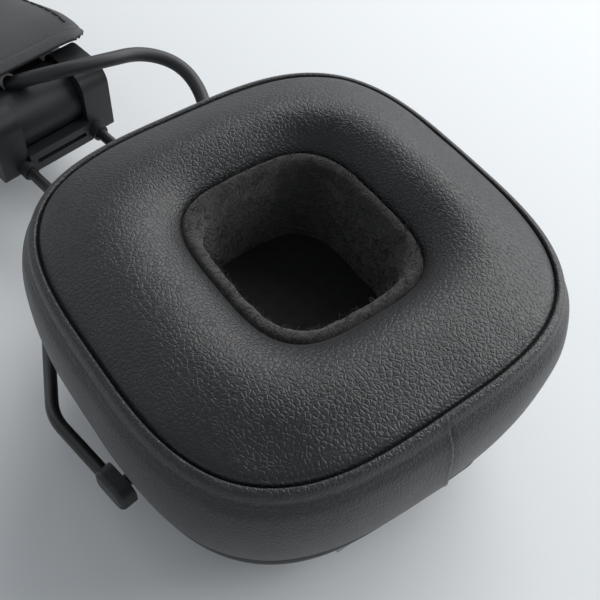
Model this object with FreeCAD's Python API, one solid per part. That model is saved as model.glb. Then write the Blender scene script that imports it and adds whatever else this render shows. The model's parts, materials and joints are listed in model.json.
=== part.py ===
import FreeCAD
import Part
import math
import os

os.makedirs("parts", exist_ok=True)
V = FreeCAD.Vector

# Folding on-ear headphones, in millimetres. The right cup lies on its outer face with its
# middle over the origin and Z up. The band runs to -X in the XZ plane. The left side is the
# right side mirrored about the plane z = MIRROR_Z.

# ---------------------------------------------------------------- driving dimensions
MIRROR_Z = 78.0                 # plane between the two cups
FOLD_X, FOLD_Z = -66.3, 16.0    # fold hinge axis, along Y
TILT_Z = 10.6                   # tilt pivot axis, along Y over the cup's middle
REST_TURN = -8.0                # degrees that the right cup is turned on its swivel
HOLE = (-1.1, 1.8)              # middle of the ear hole in the cup's own frame
HOLE_OVAL = 1.4                 # how much less the hole's half height is than its half width

CAP_TOP = 2.4
HOUSING_TOP = 13.4              # rim that the cushion sits on
WALL = 1.8                      # cup housing
BAFFLE_BOTTOM = 12.0
DRIVER_R = 15.3
DRIVER_TOP = 20.0
CLOTH = 0.55                    # grille cloth over the driver
PAD_RING_TOP = 15.0
HOLE_HALF = 14.9                # ear hole, inside the leather
LINING = 2.4                    # felt
SQUARE, HOLE_SQUARE = 2.95, 3.42  # superellipse exponents of the cup and of the ear hole

WIRE_R = 1.0
WIRE_Y = 7.5                    # the two yoke wires stand this far either side of the band's middle
CORD_R = 1.25
PIN_R = 1.5                     # fold hinge pin
KNUCKLE_R, KNUCKLE_HALF = 5.8, 6.3
BAND_CLEAR_R = 8.3              # the padding stops this far from the fold axis
LAYER_GAP = 0.15                # half the gap between the band's two layers
STEEL = 0.9


# ---------------------------------------------------------------- helpers
def ring(z, hx, hy, n, centre):
    """A closed superellipse at height z: half sizes hx and hy, squarer as n grows."""
    count = 40
    pts = []
    for i in range(count):
        a = 2 * math.pi * i / count
        r = (abs(math.cos(a) / hx) ** n + abs(math.sin(a) / hy) ** n) ** (-1.0 / n)
        pts.append(V(centre[0] + r * math.cos(a), centre[1] + r * math.sin(a), z))
    curve = Part.BSplineCurve()
    curve.interpolate(pts, PeriodicFlag=True)
    # four edges, because a flat face inside one long closed edge measures wrongly
    first, whole = curve.FirstParameter, curve.LastParameter - curve.FirstParameter
    return Part.Wire([curve.toShape(first + whole * k / 4, first + whole * (k + 1) / 4) for k in range(4)])


def loft(rows, ruled=False):
    """A solid through square rings, each (height, half width, exponent)."""
    return Part.makeLoft([ring(z, h, h, n, (0, 0)) for z, h, n in rows], True, ruled)


def hole_loft(rows, ruled=True):
    """A solid through rings round the ear hole, each (height, half width, exponent)."""
    return Part.makeLoft([ring(z, h, h - HOLE_OVAL, n, HOLE) for z, h, n in rows], True, ruled)


def cyl(x, y, z, r, h, axis=(0, 0, 1)):
    return Part.makeCylinder(r, h, V(x, y, z), V(*axis))


def hole_cyl(z, r, h):
    return cyl(HOLE[0], HOLE[1], z, r, h)


def box(x0, x1, y0, y1, z0, z1):
    """A box between two corners, whichever way round each pair is given."""
    (x0, x1), (y0, y1), (z0, z1) = sorted((x0, x1)), sorted((y0, y1)), sorted((z0, z1))
    return Part.makeBox(x1 - x0, y1 - y0, z1 - z0, V(x0, y0, z0))


def rounded(shape, r, pick):
    return shape.makeFillet(r, [e for e in shape.Edges if pick(e)])


def runs_along(edge, axis):
    return abs(getattr(edge.tangentAt(edge.FirstParameter), axis)) > 0.9


def tube(points, r, bends=None):
    """Round bar along straight runs joined by tangent arcs, as large as the runs allow unless given."""
    pts = [V(*p) for p in points]
    if bends is None:
        bends = []
        for before, at, after in zip(pts, pts[1:], pts[2:]):
            turn = math.pi - (before - at).getAngle(after - at)
            bends.append(0.45 * min((at - before).Length, (after - at).Length) / math.tan(turn / 2))
        print("bend radii", [round(b, 1) for b in bends])
    edges = []
    last = pts[0]
    for before, at, after, bend in zip(pts, pts[1:], pts[2:], bends):
        a, b = (before - at).normalize(), (after - at).normalize()
        half = a.getAngle(b) / 2
        middle = (a + b).normalize()
        p, q = at + a * (bend / math.tan(half)), at + b * (bend / math.tan(half))
        edges.append(Part.makeLine(last, p))
        edges.append(Part.Arc(p, at + middle * (bend / math.sin(half) - bend), q).toShape())
        last = q
    edges.append(Part.makeLine(last, pts[-1]))
    circle = Part.Wire([Part.makeCircle(r, pts[0], (pts[1] - pts[0]).normalize())])
    return Part.Wire(edges).makePipeShell([circle], True, False, 2)


def mirror(shape):
    return shape.mirror(V(0, 0, MIRROR_Z), V(0, 0, 1))


def turn_with_cup(shape):
    shape.rotate(V(0, 0, 0), V(0, 0, 1), REST_TURN)
    return shape


# ---------------------------------------------------------------- the band
def band_line():
    """Points of the band's middle line: a straight end, a gentle sweep out, then the arch."""
    start = [(x, 12.4 + (x + 79.5) * math.tan(math.radians(20))) for x in (-68.0, -73.5)]
    sweep = [(-112 + 95 * math.sin(math.radians(a)), 101.7 - 95 * math.cos(math.radians(a)))
             for a in (20, 15, 10, 5)]
    arch = [(-112 - 53 * math.sin(math.radians(a)), MIRROR_Z - 71.3 * math.cos(math.radians(a)))
            for a in (0, 13, 26, 39, 52, 65, 78)]
    half = start + sweep + arch
    return half + [(-165.0, MIRROR_Z)] + [(x, 2 * MIRROR_Z - z) for x, z in reversed(half)]


LINE = band_line()
LAST = len(LINE) - 1


def station(i):
    """A point of the band line and its normal, which points into the head space."""
    a, b = LINE[max(i - 1, 0)], LINE[min(i + 1, LAST)]
    dx, dz = b[0] - a[0], b[1] - a[1]
    length = math.hypot(dx, dz)
    return LINE[i], (dz / length, -dx / length)


def swell(i, ends, middle):
    """A size that grows smoothly over the first six stations from each end."""
    u = min(min(i, LAST - i) / 6.0, 1.0)
    return ends + (middle - ends) * u * u * (3 - 2 * u)


def padded_section(i, half_width, thickness, side):
    """A flat-backed domed section standing on the band line, inside (1) or outside (-1)."""
    (x, z), normal = station(i)
    softness = 2.7
    pts = []
    for k in range(13):
        a = math.pi * k / 12
        y = half_width * math.copysign(abs(math.cos(a)) ** (2 / softness), math.cos(a))
        h = side * (LAYER_GAP + thickness * abs(math.sin(a)) ** (2 / softness))
        pts.append(V(x + normal[0] * h, y, z + normal[1] * h))
    curve = Part.BSplineCurve()
    curve.interpolate(pts)
    return Part.Wire([Part.makeLine(pts[-1], pts[0]), curve.toShape()])


def padding(end_thickness, middle_thickness, side):
    sections = [padded_section(i, swell(i, 12.7, 16.0), swell(i, end_thickness, middle_thickness), side)
                for i in range(LAST + 1)]
    return Part.makeLoft(sections, True, False)


def strip(first, last, half_width, thickness):
    """A flat strip centred on the band line."""
    wires = []
    for i in range(first, last + 1):
        (x, z), normal = station(i)
        corners = [V(x + normal[0] * h, y, z + normal[1] * h)
                   for y, h in ((-half_width, -thickness / 2), (half_width, -thickness / 2),
                                (half_width, thickness / 2), (-half_width, thickness / 2))]
        wires.append(Part.makePolygon(corners + [corners[0]]))
    return Part.makeLoft(wires, True, False)


def band_end(steel, lead, relief):
    """The hinge's barrel with its neck and a tongue that the spring steel and padding wrap."""
    knuckle = cyl(FOLD_X, -KNUCKLE_HALF, FOLD_Z, KNUCKLE_R, 2 * KNUCKLE_HALF, (0, 1, 0))
    neck = box(-78, FOLD_X, -KNUCKLE_HALF, KNUCKLE_HALF, 13.1, 19.4)
    body = knuckle.fuse(neck).fuse(strip(1, 3, 9.0, 3.4))
    for side in (-1, 1):
        body = body.cut(cyl(FOLD_X, side * (KNUCKLE_HALF + 0.1), FOLD_Z, BAND_CLEAR_R, 13.6, (0, side, 0)))
    body = body.cut(cyl(FOLD_X, -10, FOLD_Z, PIN_R + 0.05, 20, (0, 1, 0)))
    return body.cut(steel).cut(relief).cut(lead)


def band(end):
    steel = strip(2, LAST - 2, 7.0, STEEL)
    clear = cyl(FOLD_X, -20, FOLD_Z, BAND_CLEAR_R, 40, (0, 1, 0))
    layers = {"band_inner_pad": padding(7.3, 9.5, 1), "band_outer_cover": padding(3.4, 5.8, -1)}
    out = {"band_steel": steel}
    for name, layer in layers.items():
        layer = layer.cut(steel)
        for tool in (clear, end):
            layer = layer.cut(tool).cut(mirror(tool))
        out[name] = layer
    return out


# ---------------------------------------------------------------- the leads
# from the band over the hinge to the cup's wall, and the last points, which turn with the cup
ROUTE = [(-72.5, -4.6, 17.6), (-66.0, -2.6, 23.2), (-61.0, 2.6, 25.8), (-58.3, 10.8, 25.6),
         (-58.0, 18.6, 23.6), (-53.2, 23.8, 21.0), (-46.4, 23.2, 18.0), (-40.2, 18.6, 15.4)]
INTO_CUP = [(-33.3, 12.8, 11.4), (-26.0, 10.0, 10.2)]


def turned(x, y, z):
    a = math.radians(REST_TURN)
    return (x * math.cos(a) - y * math.sin(a), x * math.sin(a) + y * math.cos(a), z)


def relief_ring(lead):
    along = (V(*ROUTE[1]) - V(*ROUTE[0])).normalize()
    return Part.makeCylinder(CORD_R + 0.45, 2.6, V(*ROUTE[0]) + along * 4.6, along).cut(lead)


def cord_grommet(housing, baffle):
    """A flanged rubber sleeve in the cup wall, and the passage cut for it."""
    inward = (V(*INTO_CUP[1]) - V(*INTO_CUP[0])).normalize()
    mouth = V(*INTO_CUP[1]) - inward * 6.2
    passage = Part.makeCylinder(2.1, 9.0, mouth + inward, inward)
    sleeve = Part.makeCylinder(2.1, 3.2, mouth + inward, inward)
    flange = Part.makeCylinder(2.7, 1.2, mouth + inward * 0.2, inward)
    bore = Part.makeCylinder(CORD_R + 0.07, 12.0, mouth - inward * 3, inward)
    housing = housing.cut(passage)
    return sleeve.fuse(flange).cut(bore).cut(housing).cut(baffle), housing


# ---------------------------------------------------------------- one cup, in its own frame
def outer_cap():
    plate = loft([(0, 22.3, 2.9), (0.7, 23.9, 2.9), (CAP_TOP, 24.9, 2.9)])
    boss = cyl(0, 0, CAP_TOP - 0.1, 5.0, 7.0)
    stud = cyl(0, 0, 9.2, 2.95, 2.75)
    return plate.fuse(boss).fuse(stud)


def cup_housing():
    rows = [(CAP_TOP, 24.9, 2.9), (5.0, 26.3, 2.9), (8.0, 28.0, 2.92), (10.2, 29.6, 2.94),
            (11.4, 30.3, SQUARE), (HOUSING_TOP, 30.4, SQUARE)]
    shell = loft(rows)
    inner = [(z, h - WALL, 2.9) for z, h, n in rows]
    inner[0] = (CAP_TOP - 0.1, 22.9, 2.9)
    inner[1] = (5.0, 24.5, 2.9)
    inner[-1] = (HOUSING_TOP + 0.1, 28.6, 2.9)
    shell = shell.cut(loft(inner))
    for side in (-1, 1):
        # the swivel bar's ends pass out through these slots
        shell = shell.cut(box(-5.7, 5.7, side * 25.5, side * 33.0, 9.2, 12.0))
    return shell


def baffle_parts():
    plate = loft([(BAFFLE_BOTTOM, 28.55, 2.9), (HOUSING_TOP, 28.6, 2.9)]).cut(hole_cyl(11, 13.5, 4))
    parts = {}
    for name, x in (("hinge", -24.0), ("back", 24.0)):
        screw = cyl(x, 0, 9.4, 0.9, 3.4).fuse(cyl(x, 0, 12.7, 1.7, HOUSING_TOP - 12.7))
        plate = plate.cut(cyl(x, 0, 11, 0.9, 4)).cut(cyl(x, 0, 12.7, 1.7, 2))
        parts["baffle_screw_" + name] = screw
    parts["baffle"] = plate
    return parts


def driver_parts():
    frame = hole_cyl(HOUSING_TOP, DRIVER_R, DRIVER_TOP - HOUSING_TOP)
    frame = frame.cut(hole_cyl(14.6, 13.6, 8)).cut(hole_cyl(13, 8.0, 4))
    dome = Part.makeSphere(12, V(HOLE[0], HOLE[1], 7.2)).common(hole_cyl(17.3, 12, 4))
    cloth = [(DRIVER_TOP + 0.05, HOLE_HALF - 0.1, HOLE_SQUARE), (DRIVER_TOP + CLOTH, HOLE_HALF - 0.1, HOLE_SQUARE)]
    return {"driver_frame": frame, "driver_magnet": hole_cyl(12.3, 8.0, 4.0),
            "driver_diaphragm": hole_cyl(17.0, 13.6, 0.5).fuse(dome), "driver_cloth": hole_loft(cloth)}


def cushion_parts():
    """The moulded foam, its leather cover, the felt in the ear hole and the mounting ring."""
    below = hole_cyl(13.0, DRIVER_R + 0.1, DRIVER_TOP + 0.6 - 13.0)
    well = hole_loft([(DRIVER_TOP, HOLE_HALF, HOLE_SQUARE), (34.4, HOLE_HALF, HOLE_SQUARE)])
    lip_rows = [(34.4, HOLE_HALF, HOLE_SQUARE), (35.6, HOLE_HALF + 0.5, HOLE_SQUARE)]
    funnel = hole_loft([(35.6, HOLE_HALF + 0.5, HOLE_SQUARE), (36.9, HOLE_HALF + 1.7, 3.38),
                        (38.0, HOLE_HALF + 3.6, 3.32), (38.9, HOLE_HALF + 5.8, 3.25),
                        (39.4, HOLE_HALF + 8.2, 3.2)])
    hole = well.fuse(hole_loft(lip_rows)).fuse(funnel).fuse(below)
    ring_plate = loft([(HOUSING_TOP, 29.2, SQUARE), (PAD_RING_TOP, 29.2, SQUARE)]).cut(hole_cyl(12, DRIVER_R + 0.1, 6))
    foam = loft([(PAD_RING_TOP, 29.9, SQUARE), (19.5, 31.2, 3.05), (25.5, 31.7, 3.1), (30.5, 31.5, 3.15),
                 (34.6, 29.4, 3.2)])
    foam = foam.cut(hole_loft([(DRIVER_TOP, HOLE_HALF, HOLE_SQUARE), (40, HOLE_HALF, HOLE_SQUARE)])).cut(below)
    side = loft([(HOUSING_TOP, 30.5, SQUARE), (16.5, 31.7, 3.0), (20.5, 32.6, 3.05), (25.5, 33.0, 3.1),
                 (30.5, 32.8, 3.15), (34.2, 31.8, 3.2), (35.9, 30.2, 3.3)])
    crown = loft([(35.0, 29.3, 3.3), (36.2, 29.0, 3.3), (37.6, 27.2, 3.25), (38.6, 24.8, 3.2), (39.0, 22.2, 3.1)])
    cover = side.fuse(crown).cut(hole).cut(foam).cut(ring_plate)
    floor = DRIVER_TOP + CLOTH
    felt = hole_loft([(floor, HOLE_HALF, HOLE_SQUARE)] + lip_rows)
    ear = hole_loft([(floor - 0.2, HOLE_HALF - LINING, HOLE_SQUARE), (34.4, HOLE_HALF - LINING + 0.3, HOLE_SQUARE),
                     (35.9, HOLE_HALF - 0.6, HOLE_SQUARE)])
    return {"pad_ring": ring_plate, "pad_foam": foam, "ear_pad": cover, "pad_lining": felt.cut(ear)}


def cup():
    parts = {"outer_cap": outer_cap(), "cup_housing": cup_housing()}
    for made in (baffle_parts(), driver_parts(), cushion_parts()):
        parts.update(made)
    parts["cord_grommet"], parts["cup_housing"] = cord_grommet(parts["cup_housing"], parts["baffle"])
    return parts


# ---------------------------------------------------------------- yoke and hinge
def yoke():
    parts = {}
    outer_y, pivot_y = 33.2, 34.5
    for name, side in (("front", -1), ("rear", 1)):
        path = [(2.2, side * outer_y, 12.2), (-14.5, side * outer_y, 11.8), (-33.5, side * 21.5, 9.4),
                (-37.0, side * WIRE_Y, TILT_Z), (-62.5, side * WIRE_Y, TILT_Z)]
        wire = tube(path, WIRE_R, (9.0, 9.0, 4.0))
        block = box(-2.9, 3.4, side * 31.9, side * pivot_y, 9.6, 13.9)
        block = rounded(block, 1.5, lambda e: runs_along(e, "y"))
        block = rounded(block, 0.7, lambda e: abs(abs(e.CenterOfMass.y) - pivot_y) < 0.01)
        pin = cyl(0, side * 32.5, TILT_Z, 0.95, 8.5, (0, -side, 0))
        parts["yoke_wire_" + name] = wire
        parts["pivot_block_" + name] = block.fuse(pin).cut(wire)
    bar = box(-4, 4, -27.6, 27.6, 9.4, 11.8).cut(cyl(0, 0, 9, 3.0, 4))
    for side in (-1, 1):
        bar = bar.cut(cyl(0, side * 23.7, TILT_Z, 1.0, 6, (0, side, 0)))
    parts["swivel_bar"] = bar
    return parts


def hinge():
    """Two cheeks either side of the barrel, joined by a grooved cross bar that holds the wires."""
    cheek_in, cheek_out = KNUCKLE_HALF + 0.1, 11.7
    body = box(-70.0, -58.8, -6.5, 6.5, 9.0, 13.0)
    body = body.cut(cyl(FOLD_X, -7, FOLD_Z, KNUCKLE_R + 0.3, 14, (0, 1, 0)))
    body = body.cut(box(-61.0, -58.0, -5.2, 5.2, 10.6, 11.5))
    for side in (-1, 1):
        cheek = box(-71.0, -59.4, side * cheek_in, side * cheek_out, 9.0, 22.4)
        cheek = rounded(cheek, 3.4, lambda e: runs_along(e, "y") and e.CenterOfMass.z > 20)
        cheek = rounded(cheek, 1.0, lambda e: runs_along(e, "y") and e.CenterOfMass.z < 10)
        body = body.fuse(cheek)
    parts = {}
    for name, side in (("front", -1), ("rear", 1)):
        body = body.cut(cyl(-50, side * WIRE_Y, TILT_Z, WIRE_R + 0.05, 20.9, (-1, 0, 0)))
        collar = cyl(-59.4, side * WIRE_Y, TILT_Z, 1.5, 1.8, (1, 0, 0))
        collar = collar.cut(cyl(-60, side * WIRE_Y, TILT_Z, WIRE_R + 0.05, 4, (1, 0, 0)))
        parts["wire_collar_" + name] = collar.cut(body)
    parts["hinge_bracket"] = body.cut(cyl(FOLD_X, -15, FOLD_Z, PIN_R, 30, (0, 1, 0)))
    parts["hinge_pin"] = cyl(FOLD_X, -cheek_out, FOLD_Z, PIN_R, 2 * cheek_out, (0, 1, 0))
    return parts


# ---------------------------------------------------------------- electronics in the right cup
def electronics(housing):
    """Battery, board, button and charging port, and the housing with the openings for them."""
    battery = rounded(box(8.0, 21.0, -11.0, 11.0, CAP_TOP, 6.6), 0.9, lambda e: True)
    board = box(-20.0, -7.0, -12.0, 12.0, CAP_TOP, 3.4).fuse(box(-17, -11, -6, 2, 3.3, 4.6))
    button_hole = rounded(box(24, 33, 3.5, 12.5, 7.0, 9.4), 1.1, lambda e: runs_along(e, "x"))
    button = rounded(box(25.2, 29.5, 3.6, 12.4, 7.1, 9.3), 1.0, lambda e: runs_along(e, "x"))
    port = box(24.2, 28.6, -12.0, -3.6, 6.6, 9.4).cut(box(25.6, 30, -11.2, -4.4, 7.3, 8.7))
    port_hole = box(24, 33, -12.0, -3.6, 6.6, 9.4)
    for tool in (button_hole, port_hole):
        housing = housing.cut(turn_with_cup(tool))
    made = {"right_battery": battery, "right_circuit_board": board, "right_button": button,
            "right_charging_port": port}
    return {name: turn_with_cup(shape) for name, shape in made.items()}, housing


# ---------------------------------------------------------------- put both sides together
leads = {"right": tube(ROUTE + [turned(*p) for p in INTO_CUP], CORD_R), "left": tube(ROUTE + INTO_CUP, CORD_R)}
relief = relief_ring(leads["left"])
end = band_end(strip(2, LAST - 2, 7.0, STEEL), leads["left"], relief)
shapes = band(end)

still = {"band_end": end, "cord_relief_band": relief}
still.update(yoke())
still.update(hinge())
for name, shape in still.items():
    shapes["right_" + name] = shape
    shapes["left_" + name] = mirror(shape)
for name, shape in cup().items():
    shapes["right_" + name] = turn_with_cup(shape.copy())
    shapes["left_" + name] = mirror(shape)
shapes["right_cord"] = leads["right"]
shapes["left_cord"] = mirror(leads["left"])
fitted, shapes["right_cup_housing"] = electronics(shapes["right_cup_housing"])
shapes.update(fitted)

for name in sorted(shapes):
    shape = shapes[name]
    if shape.ShapeType == "Compound" and len(shape.Solids) == 1:
        shape = shape.Solids[0]
    size = shape.optimalBoundingBox()
    print("%-26s solids %d valid %s volume %8.1f  z %5.1f..%5.1f" % (
        name, len(shape.Solids), shape.isValid(), shape.Volume, size.ZMin, size.ZMax))
    shape.exportStep("parts/" + name + ".step")
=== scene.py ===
# %% [markdown]
# # Folding on-ear headphones
# Two square padded cups hang in wire yokes from a padded band. The set lies on
# the outer face of its right cup, so the cushion faces up. The hard parts come
# from the CAD frame. This lesson adds what CAD leaves plain: sewn leather,
# felt, a stitched band and the lead that loops over each hinge.

import bpy
import bmesh
import json
import math
from mathutils import Vector, Matrix, noise


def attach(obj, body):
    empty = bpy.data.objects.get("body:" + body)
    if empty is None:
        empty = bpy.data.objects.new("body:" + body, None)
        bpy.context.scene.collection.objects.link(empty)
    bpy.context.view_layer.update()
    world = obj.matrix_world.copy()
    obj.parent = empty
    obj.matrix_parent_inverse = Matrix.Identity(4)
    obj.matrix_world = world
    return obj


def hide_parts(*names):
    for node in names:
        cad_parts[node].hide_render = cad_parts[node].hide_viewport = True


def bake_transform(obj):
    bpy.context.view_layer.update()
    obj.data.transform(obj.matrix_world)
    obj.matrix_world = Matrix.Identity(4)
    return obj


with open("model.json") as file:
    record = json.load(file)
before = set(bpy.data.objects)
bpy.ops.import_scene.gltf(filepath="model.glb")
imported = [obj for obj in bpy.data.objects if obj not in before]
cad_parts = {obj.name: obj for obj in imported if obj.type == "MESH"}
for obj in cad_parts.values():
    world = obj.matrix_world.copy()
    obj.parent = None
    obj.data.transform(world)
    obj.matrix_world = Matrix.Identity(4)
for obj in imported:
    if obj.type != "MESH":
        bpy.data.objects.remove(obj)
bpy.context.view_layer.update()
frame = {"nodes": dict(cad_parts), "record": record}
MM = 0.001
MIRROR_Z = 78.0  # the plane between the two cups, mm
REST_TURN = math.radians(-8)  # the right cup lies turned on its swivel

# %% [markdown]
# ## Node helpers
# One function adds a shader or geometry node with its settings and links. Hex
# colours are sRGB, and Blender wants linear numbers, so one function converts.

# %% Node and colour helpers
def linear(hex_colour):
    out = []
    for i in (1, 3, 5):
        v = int(hex_colour[i:i + 2], 16) / 255
        out.append(v / 12.92 if v <= 0.04045 else ((v + 0.055) / 1.055) ** 2.4)
    return (*out, 1.0)


def add(tree, kind, settings=None, stops=None, **inputs):
    """Add a node. settings are its own properties, stops a colour ramp's places and
    colours or greys, and inputs are values, sockets, or nodes whose first output is meant."""
    n = tree.nodes.new(kind)
    for key, value in (settings or {}).items():
        setattr(n, key, value)
    for i, (place, tint) in enumerate(stops or []):
        point = n.color_ramp.elements[i] if i < 2 else n.color_ramp.elements.new(place)
        point.position = place
        point.color = linear(tint) if isinstance(tint, str) else (tint, tint, tint, 1)
    for key, value in inputs.items():
        key = key.replace("_", " ")
        socket = n.inputs[int(key[1:])] if key[0] == "i" and key[1:].isdigit() else n.inputs[key]
        if isinstance(value, bpy.types.Node):
            value = value.outputs[0]
        if isinstance(value, bpy.types.NodeSocket):
            tree.links.new(value, socket)
        else:
            socket.default_value = value
    return n


def start(name, **sockets):
    """A new material with one principled shader, its constants, and the object's coordinates."""
    m = bpy.data.materials.new(name)
    m.use_nodes = True
    t = m.node_tree
    t.nodes.clear()
    shader = add(t, "ShaderNodeBsdfPrincipled", **sockets)
    add(t, "ShaderNodeOutputMaterial", Surface=shader)
    return m, t, shader, add(t, "ShaderNodeTexCoord").outputs["Object"]


def drift(tree, where, scale, amount):
    """Push the coordinates about with noise, so that a pattern isn't regular."""
    n = add(tree, "ShaderNodeTexNoise", Vector=where, Scale=scale, Detail=2.0)
    return add(tree, "ShaderNodeVectorMath", {"operation": "MULTIPLY_ADD"}, i0=n.outputs["Color"],
               i1=(amount, amount, amount), i2=where)


# %% [markdown]
# ## Leather
# The cushions are polyurethane-coated leather with a pebbled grain pressed in.
# The grain is low rounded cells under a millimetre across with soft creases
# between them. Voronoi's distance to the nearest edge gives both: low values are
# the creases, and the rest is the top of a pebble. The creases are also given a
# darker colour, which is painted shade. The coating gives the broad, soft shine
# of satin paint, a little duller where it is stretched.

# %% Pebbled leather
def pebbled_leather(name, cell_mm, depth_mm, top, crease, rough, dust=False):
    m, t, shader, where = start(name, IOR=1.5, Sheen_Weight=0.05, Sheen_Roughness=0.5)
    warped = drift(t, where, 420.0, 0.0006)
    big, small = (add(t, "ShaderNodeTexVoronoi", {"feature": "DISTANCE_TO_EDGE"}, Vector=warped,
                      Scale=cells / cell_mm, Randomness=1.0) for cells in (1000, 1900))
    # the grain is shallower in patches, as it is where the skin is stretched
    fade = add(t, "ShaderNodeTexNoise", Vector=where, Scale=150.0, Detail=2.0)
    width = add(t, "ShaderNodeValToRGB", Fac=fade, stops=[(0.35, 0.16), (0.68, 0.32)])
    pebble = add(t, "ShaderNodeMapRange", {"interpolation_type": "SMOOTHSTEP"}, Value=big,
                 From_Min=0.0, From_Max=width)
    fine = add(t, "ShaderNodeMapRange", {"interpolation_type": "SMOOTHSTEP"}, Value=small,
               From_Min=0.0, From_Max=0.3)
    pores = add(t, "ShaderNodeTexNoise", Vector=where, Scale=4200.0, Detail=3.0)
    h = add(t, "ShaderNodeMath", {"operation": "MULTIPLY_ADD"}, i0=fine, i1=0.3, i2=pebble)
    h = add(t, "ShaderNodeMath", {"operation": "MULTIPLY_ADD"}, i0=pores, i1=0.12, i2=h)
    bump = add(t, "ShaderNodeBump", Strength=0.8, Distance=depth_mm * MM, Height=h)
    t.links.new(bump.outputs[0], shader.inputs["Normal"])
    patch = add(t, "ShaderNodeTexNoise", Vector=where, Scale=38.0, Detail=3.0)
    tops = add(t, "ShaderNodeValToRGB", Fac=patch, stops=[(0.3, top[0]), (0.7, top[1])])
    # the creases take the darker crease colour: painted shade in the creases, in all three leathers
    tone = add(t, "ShaderNodeMix", {"data_type": "RGBA"}, Factor=pebble, A=linear(crease), B=tops)
    colour = tone.outputs["Result"]
    if dust:
        specks = add(t, "ShaderNodeTexVoronoi", {"feature": "F1"}, Vector=where, Scale=330.0)
        is_near = add(t, "ShaderNodeMath", {"operation": "LESS_THAN"}, i0=specks, i1=0.028)
        apart = add(t, "ShaderNodeSeparateColor", Color=specks.outputs["Color"])
        chosen = add(t, "ShaderNodeMath", {"operation": "GREATER_THAN"}, i0=apart, i1=0.9)
        both = add(t, "ShaderNodeMath", {"operation": "MULTIPLY"}, i0=is_near, i1=chosen)
        mix = add(t, "ShaderNodeMix", {"data_type": "RGBA"}, Factor=both, A=colour, B=linear("#9a9a98"))
        colour = mix.outputs["Result"]
    t.links.new(colour, shader.inputs["Base Color"])
    gloss = add(t, "ShaderNodeValToRGB", Fac=patch, stops=[(0.25, rough[0]), (0.75, rough[1])])
    t.links.new(gloss.outputs[0], shader.inputs["Roughness"])
    return m


# polyurethane-coated split leather, embossed: satin black, with the creases of its grain painted darker as
# shade
LEATHER_TOP = pebbled_leather("pebbled leather, cushion", 0.66, 0.05, ("#0c0e11", "#111317"), "#060709",
                              (0.42, 0.49), dust=True)
# the same coating on the stretched side strip: a finer grain and a slightly greyer black
LEATHER_SIDE = pebbled_leather("fine-grained leather, cushion side", 0.6, 0.05, ("#1d1e21", "#222427"),
                               "#131416", (0.42, 0.5))
# the band's leather is ironed nearly smooth, so its highlights are wide and even
LEATHER_BAND = pebbled_leather("smooth leather, band", 0.45, 0.02, ("#1a1b1d", "#202123"), "#17181a",
                               (0.46, 0.54))

# %% [markdown]
# ## Felt, cloth, plastic, wire and rubber
# Felt has no grain or direction, only a tangle of fibres, so its bump is noise at
# two scales. Moulded plastic carries a fine spark-eroded texture. The wire is
# steel under thin matt paint, and the lead has a soft thermoplastic sheath.

# %% The other materials
def simple(name, hexes, rough, grain_mm, depth_mm, **sockets):
    """A plain finish: two close shades and two shines in patches, and a fine even texture."""
    m, t, shader, where = start(name, **sockets)
    patch = add(t, "ShaderNodeTexNoise", Vector=where, Scale=60.0, Detail=4.0)
    for socket, pair in (("Base Color", hexes), ("Roughness", rough)):
        shade = add(t, "ShaderNodeValToRGB", Fac=patch, stops=[(0.3, pair[0]), (0.7, pair[1])])
        t.links.new(shade.outputs[0], shader.inputs[socket])
    grain = add(t, "ShaderNodeTexNoise", Vector=where, Scale=1000 / grain_mm, Detail=3.0)
    bump = add(t, "ShaderNodeBump", Strength=0.6, Distance=depth_mm * MM, Height=grain)
    t.links.new(bump.outputs[0], shader.inputs["Normal"])
    return m


def felt(name):
    m, t, shader, where = start(name, Roughness=0.95, Specular_IOR_Level=0.2, Sheen_Weight=0.25,
                                Sheen_Roughness=0.6)
    tangle = add(t, "ShaderNodeTexNoise", Vector=drift(t, where, 900.0, 0.0006), Scale=2600.0,
                 Detail=4.0, Roughness=0.7)
    clump = add(t, "ShaderNodeTexNoise", Vector=where, Scale=520.0, Detail=3.0)
    h = add(t, "ShaderNodeMath", {"operation": "MULTIPLY_ADD"}, i0=clump, i1=0.8, i2=tangle)
    bump = add(t, "ShaderNodeBump", Strength=1.0, Distance=0.35 * MM, Height=h)
    t.links.new(bump.outputs[0], shader.inputs["Normal"])
    shade = add(t, "ShaderNodeValToRGB", Fac=tangle, stops=[(0.3, "#0b0b0a"), (0.62, "#1d1b19")])
    t.links.new(shade.outputs[0], shader.inputs["Base Color"])
    return m


def woven(name, thread_mm, hexes):
    m, t, shader, where = start(name, Roughness=0.9, Sheen_Weight=0.15)
    across, along_it = (add(t, "ShaderNodeTexWave", {"wave_type": "BANDS", "bands_direction": way},
                            Vector=where, Scale=50 / thread_mm, Distortion=0.6).outputs["Fac"]
                        for way in ("X", "Y"))
    h = add(t, "ShaderNodeMath", {"operation": "MAXIMUM"}, i0=across, i1=along_it)
    bump = add(t, "ShaderNodeBump", Strength=0.8, Distance=0.12 * MM, Height=h)
    t.links.new(bump.outputs[0], shader.inputs["Normal"])
    shade = add(t, "ShaderNodeValToRGB", Fac=h, stops=[(0.2, hexes[0]), (0.9, hexes[1])])
    t.links.new(shade.outputs[0], shader.inputs["Base Color"])
    return m


# pressed wool: no gloss, a brownish black, and a pale bloom at grazing angles
FELT = felt("wool felt, lining")
# open plain weave over the driver, almost black because light is lost in its holes
CLOTH = woven("woven grille cloth", 0.45, ("#030304", "#0a0a0c"))
# injection-moulded ABS from a spark-eroded mould: an even, broken sheen
PLASTIC = simple("moulded ABS, matt", ("#18191b", "#1f2022"), (0.42, 0.5), 0.22, 0.02)
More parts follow.
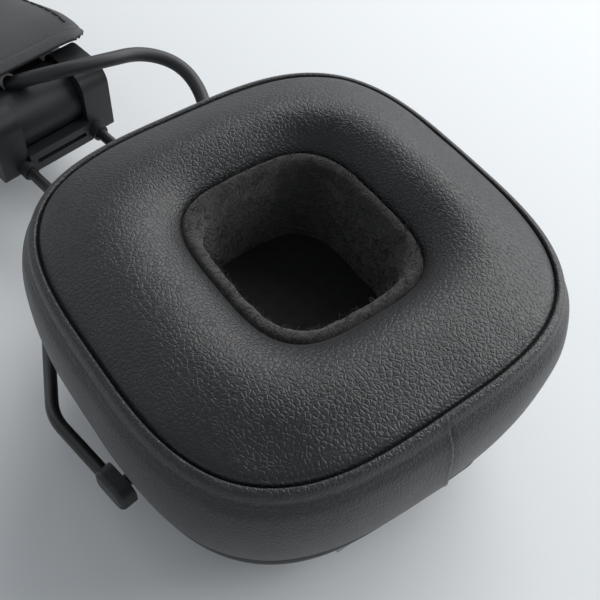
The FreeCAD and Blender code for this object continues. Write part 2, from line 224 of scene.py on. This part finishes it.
# the same ABS a shade darker, for the parts inside the cup; on the relief band this darker colour is
# painted shade
PLASTIC_DARK = simple("moulded ABS, inner parts", ("#101112", "#17181a"), (0.5, 0.6), 0.3, 0.02)
# bent steel wire under matt black paint, a little shinier than the plastic
WIRE = simple("painted steel wire", ("#161617", "#1d1d1f"), (0.34, 0.46), 0.15, 0.012)
# extruded thermoplastic elastomer: soft grey highlights on black
RUBBER = simple("thermoplastic sheath", ("#1d1e20", "#252628"), (0.48, 0.58), 0.2, 0.012)
# ground and polished pins and screws
STEEL = simple("ground steel", ("#8b8d90", "#a2a4a7"), (0.25, 0.4), 0.1, 0.004, Metallic=1.0)
# green epoxy solder mask on the circuit board
BOARD = simple("solder mask", ("#0d2a1b", "#123524"), (0.35, 0.45), 0.4, 0.01)
# rolled aluminium laminate round the battery, crumpled
FOIL = simple("aluminium foil pouch", ("#9c9ea1", "#b0b2b5"), (0.25, 0.45), 0.5, 0.02, Metallic=1.0)
# waxed nylon sewing thread
THREAD = simple("bonded nylon thread", ("#17171a", "#202023"), (0.5, 0.6), 0.12, 0.02)
# single wool fibres, lighter than the mat that they stand out of
FIBRE_LOOK = simple("felt fibre", ("#191714", "#2c2925"), (0.85, 0.95), 0.2, 0.01)

SLOT_LOOKS = {
    "pad_leather": LEATHER_TOP, "band_leather": LEATHER_BAND, "shell": PLASTIC, "wire": WIRE,
    "steel": STEEL, "rubber": RUBBER, "felt": FELT, "cloth": CLOTH, "foam": FELT,
    "inner": PLASTIC_DARK, "board": BOARD, "magnet": STEEL, "cell": FOIL,
}
node_slot = {part["node"]: part["material_slot"] for part in frame["record"]["subparts"]}
for name in frame["nodes"]:
    # the relief band takes the darker inner plastic: painted shade that takes away the light it would catch
    look = PLASTIC_DARK if name.endswith("relief_band") else SLOT_LOOKS[node_slot[name]]
    node_mesh = bpy.data.objects[name].data
    node_mesh.materials.clear()
    node_mesh.materials.append(look)
print("finished", len(node_slot), "carried-over nodes")

# %% [markdown]
# ## Superellipse rings
# A square cushion with soft corners is a superellipse: higher exponents are
# squarer. The whole cushion is a stack of such rings, each with its own height,
# half width and exponent, and its middle slides from the cup's middle to the
# ear hole's as the rings go inward.

# %% Ring and skin helpers
HOLE = Vector((-1.1, 1.8))


def ring(z, hx, hy, n, c, angles):
    out = []
    for a in angles:
        r = (abs(math.cos(a) / hx) ** n + abs(math.sin(a) / hy) ** n) ** (-1 / n)
        out.append(Vector((c[0] + r * math.cos(a), c[1] + r * math.sin(a), z)))
    return out


def smooth_rows(rows, steps):
    """Catmull-Rom curves through rows of numbers. A row that starts with a star is a sharp crease."""
    out = []
    values = [r[1:] if r[0] == "*" else r for r in rows]
    sharp = [r[0] == "*" for r in rows]
    for i in range(len(values) - 1):
        p1, p2 = values[i], values[i + 1]
        p0 = [2 * a - b for a, b in zip(p1, p2)]
        p3 = [2 * b - a for a, b in zip(p1, p2)]
        if i > 0 and not sharp[i]:
            p0 = values[i - 1]
        if i + 2 < len(values) and not sharp[i + 1]:
            p3 = values[i + 2]
        for k in range(steps):
            u = k / steps
            out.append([0.5 * (2 * b + (c - a) * u + (2 * a - 5 * b + 4 * c - d) * u * u
                               + (3 * b - a - 3 * c + d) * u ** 3)
                        for a, b, c, d in zip(p0, p1, p2, p3)])
    out.append(list(values[-1]))
    return out


def skin(name, rings, material, close_ends=False):
    """A mesh through closed rings of the same count of points, in millimetres."""
    n = len(rings[0])
    verts = [p * MM for r in rings for p in r]
    faces = []
    for i in range(len(rings) - 1):
        for j in range(n):
            k = (j + 1) % n
            faces.append((i * n + j, i * n + k, (i + 1) * n + k, (i + 1) * n + j))
    if close_ends:
        faces.append(tuple(reversed(range(n))))
        faces.append(tuple(range((len(rings) - 1) * n, len(rings) * n)))
    mesh = bpy.data.meshes.new(name)
    mesh.from_pydata(verts, [], faces)
    mesh.materials.append(material)
    mesh.shade_smooth()
    o = bpy.data.objects.new(name, mesh)
    bpy.context.collection.objects.link(o)
    return o


def point_outwards(o):
    bm = bmesh.new()
    bm.from_mesh(o.data)
    bmesh.ops.remove_doubles(bm, verts=bm.verts, dist=1e-7)
    bmesh.ops.recalc_face_normals(bm, faces=bm.faces)
    bm.to_mesh(o.data)
    bm.free()


def place_cup_piece(o, side):
    """Cup pieces are made in the cup's own frame, then laid on their side of the set."""
    if side == "right":
        o.data.transform(Matrix.Rotation(REST_TURN, 4, "Z"))
    else:
        mirror = Matrix.Translation((0, 0, 2 * MIRROR_Z * MM)) @ Matrix.Scale(-1, 4, (0, 0, 1))
        o.data.transform(mirror)
        o.data.flip_normals()


# %% [markdown]
# ## The ear cushion
# On the real cushion a moulded foam ring is wrapped in a side strip and a top
# panel, and the two are sewn together along a seam that sinks into the foam.
# The leather bulges each side of the seam, and the side strip closes on itself
# in one upright lapped seam. The top is a crown that dips to the ear hole.

# %% Ear cushion rows
# height, half x, half y, exponent, share of the hole's offset
CUSHION = [
    (13.6, 28.8, 28.8, 2.95, 0.0), ("*", 13.75, 29.5, 29.5, 2.95, 0.0), (14.5, 30.25, 30.25, 2.96, 0.0),
    (16.4, 31.2, 31.2, 2.98, 0.0), (20.0, 32.3, 32.3, 3.03, 0.0), (24.5, 32.95, 32.95, 3.1, 0.0),
    (29.0, 33.0, 33.0, 3.15, 0.0), (32.4, 32.4, 32.4, 3.2, 0.0), (33.9, 31.65, 31.65, 3.22, 0.0),
    (34.6, 31.2, 31.2, 3.25, 0.0), (35.3, 31.15, 31.15, 3.27, 0.0), (36.1, 30.8, 30.8, 3.3, 0.0),
    (36.45, 30.25, 30.25, 3.3, 0.0), (36.3, 29.95, 29.95, 3.3, 0.0), ("*", 35.7, 29.8, 29.8, 3.31, 0.0),
    ("*", 35.55, 29.7, 29.7, 3.31, 0.0), (36.3, 29.55, 29.55, 3.31, 0.0), (37.05, 28.7, 28.7, 3.3, 0.0),
    (38.0, 26.4, 26.4, 3.25, 0.03), (38.8, 23.9, 23.9, 3.2, 0.12), (39.15, 21.6, 21.4, 3.2, 0.32),
    (38.95, 19.6, 19.1, 3.22, 0.58), (38.3, 17.9, 17.1, 3.27, 0.8), (37.3, 16.5, 15.4, 3.35, 0.95),
    (36.2, 15.5, 14.2, 3.42, 1.0), (35.3, 15.05, 13.65, 3.42, 1.0), (34.4, 14.9, 13.5, 3.42, 1.0),
]
LAP = math.radians(-0.8)  # where the side strip laps over itself, at the top
LAP_CURVE = math.radians(0.043)  # the lap drifts round by this times the square of its drop, mm
LAP_STRAIGHT = 29.0  # it stands upright above this height, mm
LAP_STEPS = (-2.6, -2.0, -1.5, -1.1, -0.8, -0.5, -0.3, -0.12, 0.12, 0.3, 0.6, 1.0, 1.5, 2.2)
ROUND = 260  # evenly spaced points round each row, besides those beside the lap
GROOVE = 29.7  # half width of the row at the bottom of the sewn seam
SEAM_Z = 36.3  # top of the side strip
FOOT_Z = 13.0  # the strip's lower edge, tucked into the housing
CROWN_Z = 36.5  # all above it is the top panel
angles = [2 * math.pi * i / ROUND for i in range(ROUND)]
angles += [LAP + math.radians(d) for d in LAP_STEPS]
angles = sorted(a % (2 * math.pi) for a in angles)
rows = smooth_rows(CUSHION, 6)
groove_row = next(i for i, r in enumerate(rows) if abs(r[1] - GROOVE) < 1e-6 and r[0] > 35)
print("cushion rows", len(rows), "points per row", len(angles))


# %% Ear cushion mesh
def from_lap(a):
    return (a - LAP + math.pi) % (2 * math.pi) - math.pi


def slanted(a, z):
    """The rings' points lean with the lap, so that its edge stays on one line of them."""
    near = max(0.0, 1 - abs(from_lap(a)) / 1.2)
    drop = max(0.0, LAP_STRAIGHT - max(z, FOOT_Z))
    return a + LAP_CURVE * drop * drop * near * near * (3 - 2 * near)


def lap_height(a, z):
    """How far the lapped strip stands out, mm. One edge lies on top, the other is tucked."""
    if z < FOOT_Z or z > SEAM_Z:
        return 0.0
    d = math.degrees(from_lap(a))
    fade = min(1.0, (SEAM_Z - z) / 1.5, (z - FOOT_Z) / 0.5)
    if d < 0:
        rise, bead, edge = math.exp(d / 8.0), math.exp(-((d + 0.8) / 0.5) ** 2), math.exp(d / 0.2)
        h = 0.36 * rise + 0.07 * bead - 0.06 * edge
    else:
        h = -0.42 * math.exp(-d / 0.75)
    return h * max(0.0, fade)


def unevenness(p, seed):
    """Slow and quick waves, because hand-sewn leather is never quite even."""
    slow = noise.noise(Vector((p.x * 0.045, p.y * 0.045, p.z * 0.06 + seed)))
    quick = noise.noise(Vector((p.x * 0.16, p.y * 0.16, p.z * 0.1 + seed * 2)))
    return slow, quick


def cushion(side):
    seed = 3.0 if side == "right" else 11.0
    rings = []
    for i, (z, hx, hy, n, share) in enumerate(rows):
        on_side = i <= groove_row
        leaning = [slanted(a, z) if on_side else slanted(a, LAP_STRAIGHT) for a in angles]
        r = ring(z, hx, hy, n, HOLE * share, leaning)
        for p, a, b in zip(r, angles, leaning):
            out = Vector((math.cos(b), math.sin(b), 0))
            p += out * (lap_height(a, z) if on_side else 0.0)
            slow, quick = unevenness(p, seed)
            loose = 1.0 if 14.0 < z < 35.0 or z > CROWN_Z else 0.2
            p += out * (0.35 * slow + 0.12 * quick) * loose
            if z > CROWN_Z:
                p.z += 0.25 * slow + 0.06 * quick
        rings.append(r)
    o = skin(side + ".cushion", rings, LEATHER_TOP)
    o.data.materials.append(LEATHER_SIDE)
    for poly in o.data.polygons:
        if poly.index // len(angles) < groove_row:
            poly.material_index = 1
    return o


cushions = {side: cushion(side) for side in ("right", "left")}
print("cushion faces", len(cushions["right"].data.polygons))

# %% [markdown]
# ## Felt lining
# A strip of felt is folded over the foam's inner edge and runs down to the
# driver's cloth. It is thick and soft, so its edge is round. Short fibres stand
# out of it: Geometry Nodes scatter them, each a thin bent sliver.

# %% Felt lining mesh
# height, half x, half y
LINING = [
    (33.9, 15.0, 13.6), (34.9, 14.95, 13.55), (35.5, 14.6, 13.2), (35.65, 14.05, 12.65), (35.4, 13.4, 12.0),
    (34.7, 12.9, 11.5), (33.4, 12.6, 11.2), (30.5, 12.5, 11.1), (26.0, 12.45, 11.05), (20.6, 12.4, 11.0),
]
HOLE_SQUARE = 3.42  # the hole's exponent
LINING_TOP = 34.0  # above this the felt turns over the foam's edge
felt_angles = [2 * math.pi * i / 200 for i in range(200)]


def lining(side):
    rings = []
    for z, hx, hy in smooth_rows(LINING, 5):
        r = ring(z, hx, hy, HOLE_SQUARE, HOLE, felt_angles)
        for p in r:
            inward = (HOLE.to_3d() - Vector((p.x, p.y, 0))).normalized()
            lump = noise.noise(p * 0.5) * 0.16 + noise.noise(p * 1.6) * 0.09
            p += (inward + Vector((0, 0, 0.5 if z > LINING_TOP else 0))) * lump
        rings.append(r)
    return skin(side + ".lining", rings, FELT)


# %% Scattered fibres with Geometry Nodes
def new_tree(name, sockets):
    """A geometry node tree with named sockets, and the node that gives its inputs."""
    t = bpy.data.node_groups.new(name, "GeometryNodeTree")
    for kind, label, way in sockets:
        t.interface.new_socket(name=label, in_out=way, socket_type="NodeSocket" + kind)
    return t, add(t, "NodeGroupInput").outputs


def fibre_tree():
    t, given = new_tree("felt fibres", (
        ("Geometry", "Felt", "INPUT"), ("Float", "Fibres per square metre", "INPUT"),
        ("Float", "Fibre length", "INPUT"), ("Material", "Finish", "INPUT"),
        ("Geometry", "Fibres", "OUTPUT")))
    line = add(t, "GeometryNodeCurveQuadraticBezier", Resolution=3, Start=(0, 0, 0),
               Middle=(0.25, 0.1, 0.55), End=(0.8, 0.0, 0.75))
    around = add(t, "GeometryNodeCurvePrimitiveCircle", Resolution=3, Radius=0.05)
    fibre = add(t, "GeometryNodeCurveToMesh", Curve=line, Profile_Curve=around)
    points = add(t, "GeometryNodeDistributePointsOnFaces", Mesh=given["Felt"],
                 Density=given["Fibres per square metre"], Seed=4)
    turn = add(t, "FunctionNodeRandomValue", {"data_type": "FLOAT_VECTOR"}, i0=(-0.9, -0.9, 0.0),
               i1=(0.9, 0.9, 6.28), Seed=9)
    size = add(t, "FunctionNodeRandomValue", {"data_type": "FLOAT"}, i2=0.4, i3=1.0, Seed=5)
    length = add(t, "ShaderNodeMath", {"operation": "MULTIPLY"}, i0=size.outputs[1],
                 i1=given["Fibre length"])
    laid = add(t, "GeometryNodeInstanceOnPoints", Points=points, Instance=fibre,
               Rotation=points.outputs["Rotation"], Scale=length)
    spun = add(t, "GeometryNodeRotateInstances", Instances=laid, Rotation=turn)
    real = add(t, "GeometryNodeRealizeInstances", Geometry=spun)
    painted = add(t, "GeometryNodeSetMaterial", Geometry=real, Material=given["Finish"])
    add(t, "NodeGroupOutput", i0=painted)
    return t


def set_inputs(mod, **values):
    """A modifier's inputs are set by each socket's identifier."""
    names = {s.name: s.identifier for s in mod.node_group.interface.items_tree if s.in_out == "INPUT"}
    for key, value in values.items():
        mod[names[key.replace("_", " ")]] = value


def grown(name, host, tree, **values):
    """Run a tree on a copy of the host and keep the result as a plain mesh."""
    copy = bpy.data.objects.new(name + ".host", host.data.copy())
    bpy.context.collection.objects.link(copy)
    mod = copy.modifiers.new("grow", "NODES")
    mod.node_group = tree
    set_inputs(mod, **values)
    bpy.context.view_layer.update()
    got = copy.evaluated_get(bpy.context.evaluated_depsgraph_get())
    mesh = bpy.data.meshes.new_from_object(got)
    bpy.data.objects.remove(copy)
    mesh.name = name
    o = bpy.data.objects.new(name, mesh)
    bpy.context.collection.objects.link(o)
    print(name, "faces", len(mesh.polygons))
    return o


FIBRES = fibre_tree()
linings = {side: lining(side) for side in ("right", "left")}
fuzz = {side: grown(side + ".lining_fibres", linings[side], FIBRES, Finish=FIBRE_LOOK,
                    Fibres_per_square_metre=2.6e6, Fibre_length=0.9 * MM)
        for side in ("right", "left")}

# %% Join the cushion and its lining to their cup
for side in ("right", "left"):
    for piece in (cushions[side], linings[side], fuzz[side]):
        place_cup_piece(piece, side)
    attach(cushions[side], side + "_cup")
    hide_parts(side + "_ear_pad", side + "_pad_foam")
    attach(linings[side], side + "_cup")
    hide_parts(side + "_pad_lining")
    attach(fuzz[side], side + "_cup")

# %% [markdown]
# ## The band
# A spring steel strip runs between a thin outer cover and a thicker padded
# inside. Both are leather, turned under at the edges and at the ends, where the
# plastic arm of each hinge goes in. The ends are cut round to clear the hinge.

# %% The band's line
HINGE = Vector((-66.3, 0.0, 16.0))
AXIS_GAP = 8.45  # how far the band keeps from the fold axis, mm


ARM_SLOPE = math.tan(math.radians(20))  # rise per mm of the straight stretch beside each hinge
ARM_X, ARM_Z = -79.5, 12.4  # a point on the right side's straight stretch
BOW_X = -112.0  # middle of the bow's curves
BEND_Z, BEND_R = 101.7, 95.0  # the wide arc from the straight stretch into the bow
BOW_WIDE, BOW_HIGH = 53.0, 71.3  # half axes of the bow's ellipse


def arm_z(x):
    return ARM_Z + (x - ARM_X) * ARM_SLOPE


def band_line():
    bend = [math.radians(a) for a in (20, 15, 10, 5)]
    bow = [math.radians(a) for a in (0, 13, 26, 39, 52, 65, 78)]
    pts = [(x, arm_z(x)) for x in (-68.0, -73.5)]
    pts += [(BOW_X + BEND_R * math.sin(a), BEND_Z - BEND_R * math.cos(a)) for a in bend]
    pts += [(BOW_X - BOW_WIDE * math.sin(a), MIRROR_Z - BOW_HIGH * math.cos(a)) for a in bow]
    pts.append((BOW_X - BOW_WIDE, MIRROR_Z))
    return pts + [(x, 2 * MIRROR_Z - z) for x, z in reversed(pts[:-1])]


LINE = band_line()
LAST = len(LINE) - 1
curved = smooth_rows([(x, z, float(i)) for i, (x, z) in enumerate(LINE)], 6)
# the ends are cut finely, because their hems are only a millimetre wide
END_X = -64.0
TIP_STEP, TIP_STEPS = 0.3, 18
tip = [(x, arm_z(x), max(0.0, (-68.0 - x) / 5.5)) for x in (END_X - TIP_STEP * m for m in range(TIP_STEPS))]
far_tip = [(x, 2 * MIRROR_Z - z, LAST - i) for x, z, i in reversed(tip)]
fine_line = tip + [p for p in curved if p[0] < -71.0] + far_tip
reach = [0.0]
for a, b in zip(fine_line, fine_line[1:]):
    reach.append(reach[-1] + math.dist(a[:2], b[:2]))
print("band stations", len(fine_line), "length", round(reach[-1], 1), "mm")


def along(k):
    """Point, direction and inward normal of the band at fine station k."""
    a, b = fine_line[max(k - 1, 0)], fine_line[min(k + 1, len(fine_line) - 1)]
    d = Vector((b[0] - a[0], 0, b[1] - a[1])).normalized()
    return Vector((fine_line[k][0], 0, fine_line[k][1])), d, Vector((d.z, 0, -d.x))


def swell(k, ends, middle):
    i = fine_line[k][2]
    u = min(min(i, LAST - i) / 6.0, 1.0)
    return ends + (middle - ends) * u * u * (3 - 2 * u)


def keep_clear(p, k, gap):
    """Slide an end point along the band until it clears the fold axis."""
    for axis_z, sign in ((HINGE.z, 1), (2 * MIRROR_Z - HINGE.z, -1)):
        rel = Vector((p.x - HINGE.x, 0, p.z - axis_z))
        if rel.length < gap:
            d = along(k)[1] * sign
            b = rel.dot(d)
            p = p + d * (-b + math.sqrt(b * b - rel.length_squared + gap * gap))
    return p


def from_end(k):
    """How far station k lies from the nearer end of the band, mm."""
    return min(reach[k], reach[-1] - reach[k])


def hem(k):
    """How far the turned edge stands proud near each end of the band, mm."""
    s = END_X - fine_line[k][0]
    fold, crease, rounding = ((s - 0.9) / 0.55) ** 2, ((s - 2.0) / 0.35) ** 2, s / 0.25
    return 0.28 * math.exp(-fold) - 0.22 * math.exp(-crease) - 0.5 * math.exp(-rounding)


# %% One layer of the band
ACROSS = 30  # faces across a layer
END_FACES = 8  # faces up each closed end
COVER_GAP = AXIS_GAP + 1.4  # the outer cover keeps further from the fold axis


def arch(w, n):
    """Points over a superellipse arch: how far across, mm, and up as a share of its height."""
    turns = [math.pi * j / ACROSS for j in range(ACROSS + 1)]
    return [(w * math.copysign(abs(math.cos(a)) ** (2 / n), math.cos(a)), abs(math.sin(a)) ** (2 / n))
            for a in turns]


def band_layer(name, base, top, half_width, squareness, material, way=1, set_back=0, last=None):
    """A closed skin between two heights over the band line, way 1 inside and -1 outside."""
    stations = list(range(set_back, len(fine_line) - set_back))
    if last:
        stations = stations[:last] if last > 0 else stations[last:]

    def at(k, y, h):
        p, d, inward = along(k)
        return keep_clear(p + inward * h * way + Vector((0, y, 0)), k, AXIS_GAP if way > 0 else COVER_GAP)

    def section(k):
        b, t, w, n = base(k), top(k), half_width(k), squareness(k)
        swollen = hem(k + (-set_back if k < len(fine_line) / 2 else set_back))
        corner = 0.7 * math.exp(-from_end(k) / 0.6)
        edge = b + 0.3
        over = [(y, edge + (t + swollen - edge) * up) for y, up in arch(w + swollen - corner, n)]
        under = [(y, b) for y, up in reversed(arch(w - 0.5, n))]
        return over, under

    rings = []
    for k in stations:
        over, under = section(k)
        rings.append([at(k, y, h) for y, h in over + under])
    o = skin(name, rings, material)
    bm = bmesh.new()
    bm.from_mesh(o.data)
    # each end is closed with rows that keep clear of the hinge
    for k in (stations[0], stations[-1]):
        over, under = section(k)
        grid = []
        for f in range(END_FACES + 1):
            u = f / END_FACES
            grid.append([bm.verts.new(at(k, y1 + (y0 - y1) * u, h1 + (h0 - h1) * u) * MM)
                         for (y1, h1), (y0, h0) in zip(over, reversed(under))])
        for a, b in zip(grid, grid[1:]):
            for j in range(ACROSS):
                bm.faces.new((a[j], a[j + 1], b[j + 1], b[j]))
    bmesh.ops.remove_doubles(bm, verts=bm.verts, dist=2e-6)
    bmesh.ops.dissolve_degenerate(bm, edges=bm.edges, dist=1e-6)
    bmesh.ops.recalc_face_normals(bm, faces=bm.faces)
    for f in bm.faces:
        f.smooth = True
    bm.to_mesh(o.data)
    bm.free()
    print(name, "faces", len(o.data.polygons))
    return o


# %% Inner pad, its lining at the ends and the outer cover
def edge_width(k):
    return 16.0 - 2.9 * math.exp(-from_end(k) / 9.0)


def softness(k):
    return swell(k, 7.0, 3.0)


def pad_base(k):
    return swell(k, 3.7, 0.2)


def pad_top(k):
    return 10.4 - 2.2 * math.exp(-from_end(k) / 6.0)


band_pad = band_layer("band.inner_pad", pad_base, pad_top, edge_width, softness, LEATHER_BAND)
band_cover = band_layer("band.outer_cover", lambda k: 0.2, lambda k: swell(k, 3.4, 5.8), edge_width,
                        softness, LEATHER_BAND, way=-1)
for side, last in (("right", 30), ("left", -30)):
    o = band_layer("band.end_lining_" + side, lambda k: 0.2, lambda k: 3.1, lambda k: 12.0,
                   lambda k: 5.0, LEATHER_BAND, set_back=2, last=last)
    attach(o, "headband")
for o, node in ((band_pad, "band_inner_pad"), (band_cover, "band_outer_cover")):
    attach(o, "headband")
    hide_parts(node)

# %% [markdown]
# ## Stitches
# The pad is sewn to the cover by a row of stitches near each edge. Geometry
# Nodes space them evenly along a line laid on the pad: a point is set at every
# stitch pitch, and a short length of thread is turned to run along the line.

# %% Stitch tree
def stitch_tree():
    t, given = new_tree("band stitches", (
        ("Geometry", "Line", "INPUT"), ("Float", "Pitch", "INPUT"), ("Float", "Length", "INPUT"),
        ("Float", "Thread radius", "INPUT"), ("Material", "Finish", "INPUT"),
        ("Geometry", "Stitches", "OUTPUT")))
    end = add(t, "ShaderNodeCombineXYZ", X=given["Length"])
    thread = add(t, "GeometryNodeCurvePrimitiveLine", End=end)
    around = add(t, "GeometryNodeCurvePrimitiveCircle", Resolution=6, Radius=given["Thread radius"])
    stitch = add(t, "GeometryNodeCurveToMesh", Curve=thread, Profile_Curve=around, Fill_Caps=True)
    line = add(t, "GeometryNodeMeshToCurve", Mesh=given["Line"])
    spots = add(t, "GeometryNodeCurveToPoints", {"mode": "LENGTH"}, Curve=line, Length=given["Pitch"])
    turn = add(t, "FunctionNodeAlignRotationToVector", {"axis": "X"}, Vector=spots.outputs["Tangent"])
    laid = add(t, "GeometryNodeInstanceOnPoints", Points=spots, Instance=stitch, Rotation=turn)
    real = add(t, "GeometryNodeRealizeInstances", Geometry=laid)
    painted = add(t, "GeometryNodeSetMaterial", Geometry=real, Material=given["Finish"])
    add(t, "NodeGroupOutput", i0=painted)
    return t


# %% Stitch lines along the pad's edges
STITCH_IN = 2.2  # from the pad's edge, mm
STITCH_STATIONS = range(14, len(fine_line) - 14)  # they stop short of the hems


def on_pad(k, side_sign):
    """A point on the pad's face, STITCH_IN from its edge."""
    w, n, base = edge_width(k), softness(k), pad_base(k) + 0.3
    cosine = ((w - STITCH_IN) / w) ** (n / 2)
    height = base + (pad_top(k) - base) * (1 - cosine * cosine) ** (1 / n)
    p, d, inward = along(k)
    return (p + inward * (height + 0.05) + Vector((0, side_sign * (w - STITCH_IN), 0))) * MM


def pad_line(side_sign):
    mesh = bpy.data.meshes.new("stitch line")
    pts = [on_pad(k, side_sign) for k in STITCH_STATIONS]
    mesh.from_pydata(pts, [(j, j + 1) for j in range(len(pts) - 1)], [])
    return bpy.data.objects.new("stitch line", mesh)


STITCHES = stitch_tree()
for name, side_sign in (("front", -1), ("back", 1)):
    row = grown("band.stitches_" + name, pad_line(side_sign), STITCHES, Pitch=3.1 * MM, Length=2.2 * MM,
                Thread_radius=0.24 * MM, Finish=THREAD)
    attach(row, "headband")

# %% [markdown]
# ## The leads
# A short lead leaves each band end over the barrel, loops past the hinge and
# goes into the cup. It crosses four joints, so it is made in lengths that meet
# end to end, each turning smoothly into the next.

# %% Lead routes
LEAD_RADIUS = 1.25 * MM
ROUTE = [(-72.5, -4.6, 17.6), (-66.0, -2.9, 22.9), (-61.0, 2.4, 25.4), (-58.2, 10.8, 25.1),
         (-57.8, 18.6, 23.2), (-53.2, 23.6, 20.7), (-46.5, 23.1, 17.9), (-40.2, 18.6, 15.4)]
INTO_CUP = [(-33.3, 12.8, 11.4), (-26.0, 10.0, 10.2)]


def route(side):
    """The lead's points, with the last two turned with the right cup, or all mirrored for the left."""
    end = [Vector(p) for p in INTO_CUP]
    if side == "right":
        end = [Matrix.Rotation(REST_TURN, 3, "Z") @ p for p in end]
    pts = [Vector(p) for p in ROUTE] + end
    if side == "left":
        pts = [Vector((p.x, p.y, 2 * MIRROR_Z - p.z)) for p in pts]
    return [p * MM for p in pts]


def centreline(points):
    """Points along the smooth curve that the route's points pull into shape."""
    curve = bpy.data.curves.new("line", "CURVE")
    curve.dimensions = "3D"
    s = curve.splines.new("NURBS")
    s.points.add(len(points) - 1)
    for p, q in zip(s.points, points):
        p.co = (*q, 1)
    s.order_u = 3
    s.use_endpoint_u = True
    s.resolution_u = 10
    o = bpy.data.objects.new("line", curve)
    bpy.context.collection.objects.link(o)
    bpy.context.view_layer.update()
    mesh = bpy.data.meshes.new_from_object(o.evaluated_get(bpy.context.evaluated_depsgraph_get()))
    pts = [v.co.copy() for v in mesh.vertices]
    bpy.data.objects.remove(o)
    return pts


def sections(path, radius, sides=20):
    """Rings round a whole path, so that lengths cut from it meet with no step."""
    frame_up = Vector((0, 0, 1))
    rings = []
    for i, p in enumerate(path):
        d = (path[min(i + 1, len(path) - 1)] - path[max(i - 1, 0)]).normalized()
        side_way = d.cross(frame_up).normalized()
        frame_up = side_way.cross(d).normalized()
        rings.append([(p + (side_way * math.cos(a) + frame_up * math.sin(a)) * radius) / MM
                      for a in (2 * math.pi * j / sides for j in range(sides))])
    return rings


# %% Cut each lead into four lengths
CUTS = (0.032, 0.046, 0.060)  # where each length ends, metres from the band


def with_cuts(path, cuts):
    """Add a point to the path at each cut, and say where in the list it came."""
    out, places, run, todo = [path[0]], [], 0.0, list(cuts)
    for a, b in zip(path, path[1:]):
        step = (b - a).length
        while todo and run + step >= todo[0]:
            places.append(len(out))
            out.append(a.lerp(b, (todo.pop(0) - run) / step))
        run += step
        out.append(b)
    return out, places


def lead_piece(name, rings):
    """A closed length of sheath. Sharp rims keep its flat ends from shading its sides."""
    o = skin(name, rings, RUBBER, close_ends=True)
    point_outwards(o)
    sides = len(rings[0])
    rims = set()
    for poly in o.data.polygons:
        if len(poly.vertices) == sides:
            poly.use_smooth = False
            rims.update(poly.edge_keys)
    for edge in o.data.edges:
        edge.use_edge_sharp = edge.key in rims
    return o


for side in ("right", "left"):
    path, places = with_cuts(centreline(route(side)), CUTS)
    total = sum((b - a).length for a, b in zip(path, path[1:]))
    print(side, "lead", round(total / MM, 1), "mm")
    rings = sections(path, LEAD_RADIUS)
    spans = list(zip([0] + places, places + [len(path) - 1]))
    pieces = [lead_piece(side + ".lead_" + part, rings[i:j + 1])
              for part, (i, j) in zip(("over_hinge", "loop", "down", "into_cup"), spans)]
    for n, (o, (i, j)) in enumerate(zip(pieces, spans)):
        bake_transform(o)
    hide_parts(side + "_cord")

# %% [markdown]
# ## Floor, light and camera
# A pale table top, two large soft windows high behind the set, one to each side,
# and a weak fill from the left. Large lights give leather its broad soft shine.
# The camera looks down steeply on the right cup's cushion.

# %% Floor and world
FLOOR_HALF = 3.0  # metres
corners = [(-FLOOR_HALF, -FLOOR_HALF, 0), (FLOOR_HALF, -FLOOR_HALF, 0),
           (FLOOR_HALF, FLOOR_HALF, 0), (-FLOOR_HALF, FLOOR_HALF, 0)]
floor_mesh = bpy.data.meshes.new("floor")
floor_mesh.from_pydata(corners, [], [(0, 1, 2, 3)])
floor = bpy.data.objects.new("floor", floor_mesh)
bpy.context.collection.objects.link(floor)
# satin melamine laminate, near white
floor_look = start("white laminate table", Roughness=0.55, Base_Color=linear("#d2d5d7"))[0]
floor_mesh.materials.append(floor_look)

world = bpy.data.worlds.new("studio")
bpy.context.scene.world = world
world.use_nodes = True
sky = world.node_tree.nodes["Background"]
sky.inputs["Color"].default_value = linear("#e4e9ee")
sky.inputs["Strength"].default_value = 0.55


# %% Lights
LIT = Vector((0, 0, 0.03))  # the lights face the cushion


def area_light(name, place, size, power):
    data = bpy.data.lights.new(name, "AREA")
    data.shape = "RECTANGLE"
    data.size, data.size_y = size
    data.energy = power
    o = bpy.data.objects.new(name, data)
    bpy.context.collection.objects.link(o)
    turn = (LIT - Vector(place)).to_track_quat("-Z", "Y").to_matrix().to_4x4()
    o.matrix_world = Matrix.Translation(place) @ turn


# place and size in metres, power in watts
area_light("window", (0.5, 1.0, 0.62), (0.9, 0.8), 13)
area_light("far window", (-0.35, 0.95, 0.8), (0.9, 0.9), 11)
area_light("fill", (-1.0, 0.0, 0.6), (1.0, 1.0), 2.5)

# %% Camera
CAMERA_PLACE = Vector((51.1, -55.06, 127.85))  # mm
LOOK = Vector((-0.3939, 0.4369, -0.8087)).normalized()
RIGHT = Vector((0.6962, 0.7163, 0.0479))  # the view's own right, nearly square to LOOK
camera_data = bpy.data.cameras.new("camera")
camera_data.sensor_width = 36.0
camera_data.lens = 53.97
camera_data.clip_start = 0.01
camera = bpy.data.objects.new("camera", camera_data)
bpy.context.collection.objects.link(camera)
right_way = (RIGHT - LOOK * RIGHT.dot(LOOK)).normalized()
basis = Matrix((right_way, right_way.cross(LOOK), -LOOK)).transposed().to_4x4()
camera.matrix_world = Matrix.Translation(CAMERA_PLACE * MM) @ basis
bpy.context.scene.camera = camera
bpy.context.scene.view_settings.view_transform = "Standard"
